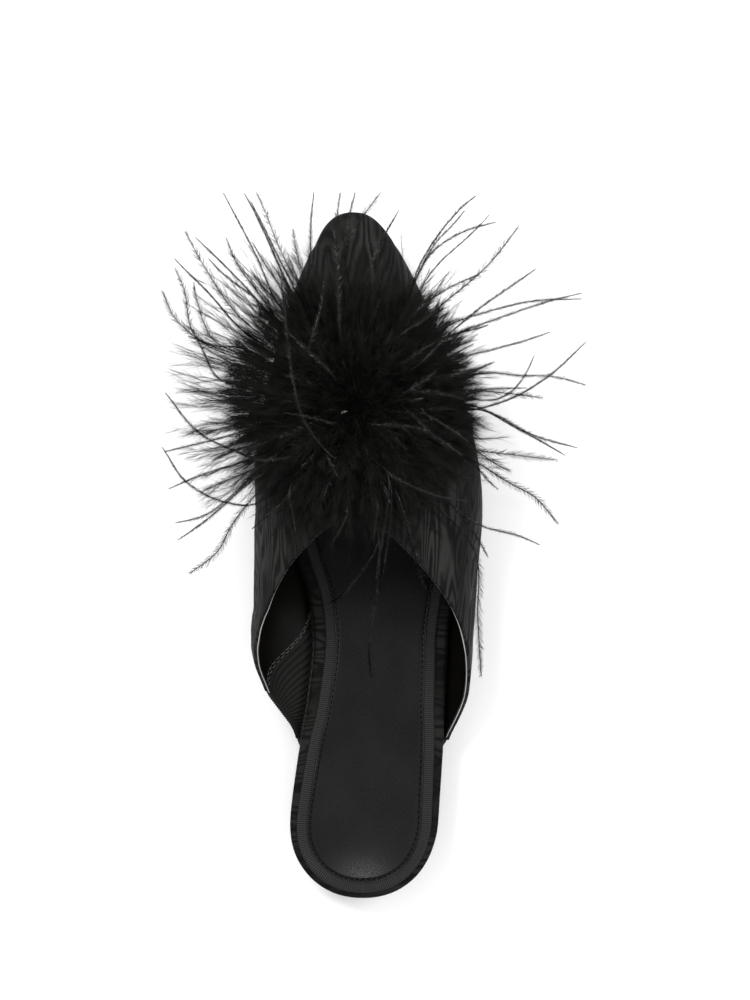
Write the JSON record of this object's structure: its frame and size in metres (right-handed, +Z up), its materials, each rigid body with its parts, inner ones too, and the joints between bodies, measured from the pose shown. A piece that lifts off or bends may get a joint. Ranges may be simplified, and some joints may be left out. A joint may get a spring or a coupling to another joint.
{
  "type": "marabou slipper",
  "caption": "Right women's flat pointed mule: hollow vamp open at throat and back, elastic gore, padded footbed on a thin sole and low heel, feather pompom on the vamp",
  "frame": {"origin": "on the ground plane, in the flat underside of the heel, 30 mm forward of the heel's back", "axes": "+Z up from the ground; +Y from heel to toe along the shoe; +X to the outer (little toe) side of this right shoe"},
  "size_m": [0.1559, 0.2711, 0.0839],
  "materials": {
    "rubber": "matte",
    "heel_cover": "satin",
    "sole_leather": "satin",
    "moire_silk": "ribbed silk with a watered figure",
    "grosgrain": "cross-ribbed ribbon",
    "sock_leather": "smooth, matte",
    "elastic": "ribbed, matte",
    "binding": "glossy",
    "feather": "soft, fibrous"
  },
  "bodies": {
    "root": {"top_lift": "rubber", "heel_block": "heel_cover", "outsole": "sole_leather", "footbed": "moire_silk", "ribbon_border": "grosgrain", "sock_lining": "sock_leather", "upper": "moire_silk", "elastic_gore": "elastic", "topline_binding": "binding", "feather_pompom": "feather"}
  },
  "joints": []
}
